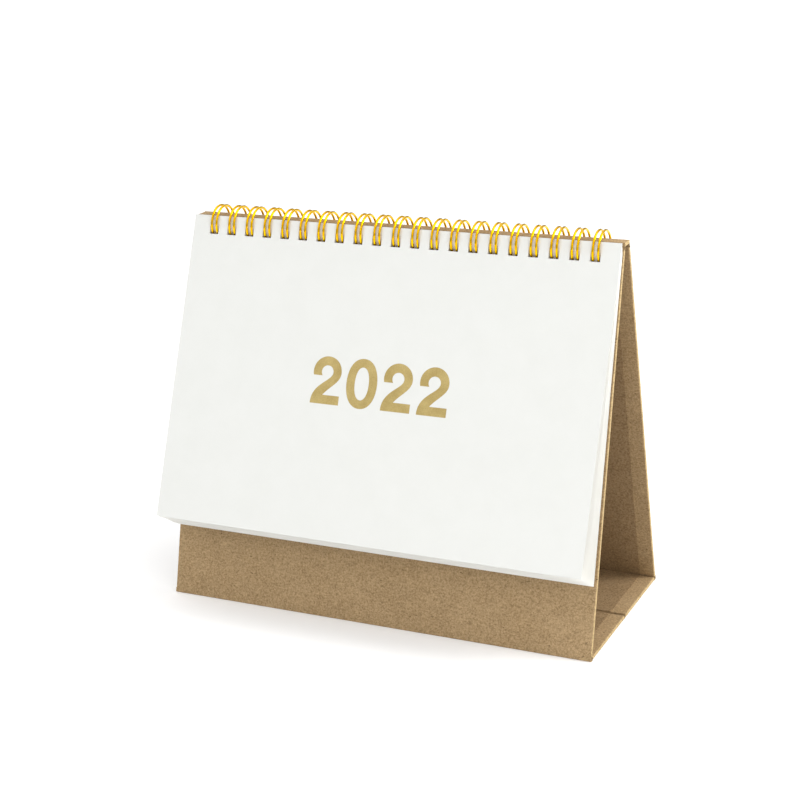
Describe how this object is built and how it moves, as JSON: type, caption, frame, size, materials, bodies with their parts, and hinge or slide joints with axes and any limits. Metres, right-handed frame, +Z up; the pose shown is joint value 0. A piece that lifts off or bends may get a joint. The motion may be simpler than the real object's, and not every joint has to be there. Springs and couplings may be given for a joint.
{
  "type": "flip desk calendar",
  "caption": "Fold-flat tent desk calendar: kraft-covered board stand with a twin-loop wire ridge and plain punched leaves under a cover with foil numerals, which flip over the top.",
  "frame": {"origin": "middle of the base's underside, on the surface that the stand rests on", "axes": "+X along the width, -Y towards the front, where the cover hangs, +Z up"},
  "size_m": [0.19, 0.0967, 0.1633],
  "materials": {
    "kraft_paper": "matte brown kraft paper with fine fibres",
    "liner_paper": "matte brown kraft liner",
    "greyboard": "grey board, seen only at cut edges",
    "leaf_paper": "smooth matte white paper",
    "cover_card": "smooth matte off-white card",
    "gold_foil": "stamped matte gold foil",
    "gold_wire": "bright gold-plated wire, glossy"
  },
  "bodies": {
    "front_panel": {"front_panel_board": "greyboard", "front_panel_kraft_wrap": "kraft_paper", "front_panel_liner": "liner_paper", "twin_loop_wire": "gold_wire", "ridge_front_crease": "kraft_paper", "bottom_front_crease": "kraft_paper"},
    "spine": {"spine_board": "greyboard", "spine_kraft_wrap": "kraft_paper", "spine_liner": "liner_paper", "ridge_rear_crease": "kraft_paper"},
    "back_panel": {"back_panel_board": "greyboard", "back_panel_kraft_wrap": "kraft_paper", "back_panel_liner": "liner_paper", "bottom_rear_crease": "kraft_paper"},
    "base_front": {"base_front_board": "greyboard", "base_front_kraft_wrap": "kraft_paper", "base_front_liner": "liner_paper"},
    "base_rear": {"base_rear_board": "greyboard", "base_rear_kraft_wrap": "kraft_paper", "base_rear_liner": "liner_paper", "base_middle_crease": "kraft_paper"},
    "cover": {"cover_sheet": "cover_card", "cover_numerals": "gold_foil"},
    "leaf_12": {"month_leaf_12": "leaf_paper"},
    "leaf_11": {"month_leaf_11": "leaf_paper"},
    "leaf_10": {"month_leaf_10": "leaf_paper"},
    "leaf_09": {"month_leaf_09": "leaf_paper"},
    "leaf_08": {"month_leaf_08": "leaf_paper"},
    "leaf_07": {"month_leaf_07": "leaf_paper"},
    "leaf_06": {"month_leaf_06": "leaf_paper"},
    "leaf_05": {"month_leaf_05": "leaf_paper"},
    "leaf_04": {"month_leaf_04": "leaf_paper"},
    "leaf_03": {"month_leaf_03": "leaf_paper"},
    "leaf_02": {"month_leaf_02": "leaf_paper"},
    "leaf_01": {"month_leaf_01": "leaf_paper"}
  },
  "joints": [
    {"name": "stand_fold", "type": "hinge", "parent": "front_panel", "child": "spine", "pos_m": [0, -0.0026, 0.1558], "axis": [-1, 0, 0], "range_deg": [0, 14], "deforming": ["ridge_front_crease"]},
    {"name": "back_panel_fold", "type": "hinge", "parent": "spine", "child": "back_panel", "pos_m": [0, 0.0026, 0.1558], "axis": [-1, 0, 0], "range_deg": [0, 14], "deforming": ["ridge_rear_crease"]},
    {"name": "base_front_fold", "type": "hinge", "parent": "front_panel", "child": "base_front", "pos_m": [0, -0.04067, 0.00182], "axis": [1, 0, 0], "range_deg": [0, 75.5], "deforming": ["bottom_front_crease"]},
    {"name": "base_rear_fold", "type": "hinge", "parent": "back_panel", "child": "base_rear", "pos_m": [0, 0.04067, 0.00182], "axis": [-1, 0, 0], "range_deg": [0, 75.5], "deforming": ["bottom_rear_crease", "base_middle_crease"]},
    {"name": "cover_flip", "type": "hinge", "parent": "front_panel", "child": "cover", "pos_m": [0, 0, 0.1552], "axis": [-1, 0, 0], "range_deg": [0, 170]},
    {"name": "leaf_01_flip", "type": "hinge", "parent": "front_panel", "child": "leaf_01", "pos_m": [0, 0, 0.1552], "axis": [-1, 0, 0], "range_deg": [0, 170]},
    {"name": "leaf_02_flip", "type": "hinge", "parent": "front_panel", "child": "leaf_02", "pos_m": [0, 0, 0.1552], "axis": [-1, 0, 0], "range_deg": [0, 170]},
    {"name": "leaf_03_flip", "type": "hinge", "parent": "front_panel", "child": "leaf_03", "pos_m": [0, 0, 0.1552], "axis": [-1, 0, 0], "range_deg": [0, 170]},
    {"name": "leaf_04_flip", "type": "hinge", "parent": "front_panel", "child": "leaf_04", "pos_m": [0, 0, 0.1552], "axis": [-1, 0, 0], "range_deg": [0, 170]},
    {"name": "leaf_05_flip", "type": "hinge", "parent": "front_panel", "child": "leaf_05", "pos_m": [0, 0, 0.1552], "axis": [-1, 0, 0], "range_deg": [0, 170]},
    {"name": "leaf_06_flip", "type": "hinge", "parent": "front_panel", "child": "leaf_06", "pos_m": [0, 0, 0.1552], "axis": [-1, 0, 0], "range_deg": [0, 170]},
    {"name": "leaf_07_flip", "type": "hinge", "parent": "front_panel", "child": "leaf_07", "pos_m": [0, 0, 0.1552], "axis": [-1, 0, 0], "range_deg": [0, 170]},
    {"name": "leaf_08_flip", "type": "hinge", "parent": "front_panel", "child": "leaf_08", "pos_m": [0, 0, 0.1552], "axis": [-1, 0, 0], "range_deg": [0, 170]},
    {"name": "leaf_09_flip", "type": "hinge", "parent": "front_panel", "child": "leaf_09", "pos_m": [0, 0, 0.1552], "axis": [-1, 0, 0], "range_deg": [0, 170]},
    {"name": "leaf_10_flip", "type": "hinge", "parent": "front_panel", "child": "leaf_10", "pos_m": [0, 0, 0.1552], "axis": [-1, 0, 0], "range_deg": [0, 170]},
    {"name": "leaf_11_flip", "type": "hinge", "parent": "front_panel", "child": "leaf_11", "pos_m": [0, 0, 0.1552], "axis": [-1, 0, 0], "range_deg": [0, 170]},
    {"name": "leaf_12_flip", "type": "hinge", "parent": "front_panel", "child": "leaf_12", "pos_m": [0, 0, 0.1552], "axis": [-1, 0, 0], "range_deg": [0, 170]}
  ],
  "couplings": [
    {"joint": "back_panel_fold", "follows": "stand_fold", "ratio": 1},
    {"joint": "base_front_fold", "follows": "stand_fold", "ratio": 5.3857},
    {"joint": "base_rear_fold", "follows": "stand_fold", "ratio": 5.3857},
    {"joint": "leaf_01_flip", "follows": "cover_flip", "ratio": 0.9985},
    {"joint": "leaf_02_flip", "follows": "cover_flip", "ratio": 0.997},
    {"joint": "leaf_03_flip", "follows": "cover_flip", "ratio": 0.9955},
    {"joint": "leaf_04_flip", "follows": "cover_flip", "ratio": 0.994},
    {"joint": "leaf_05_flip", "follows": "cover_flip", "ratio": 0.9925},
    {"joint": "leaf_06_flip", "follows": "cover_flip", "ratio": 0.991},
    {"joint": "leaf_07_flip", "follows": "cover_flip", "ratio": 0.9895},
    {"joint": "leaf_08_flip", "follows": "cover_flip", "ratio": 0.988},
    {"joint": "leaf_09_flip", "follows": "cover_flip", "ratio": 0.9865},
    {"joint": "leaf_10_flip", "follows": "cover_flip", "ratio": 0.985},
    {"joint": "leaf_11_flip", "follows": "cover_flip", "ratio": 0.9835},
    {"joint": "leaf_12_flip", "follows": "cover_flip", "ratio": 0.982}
  ]
}
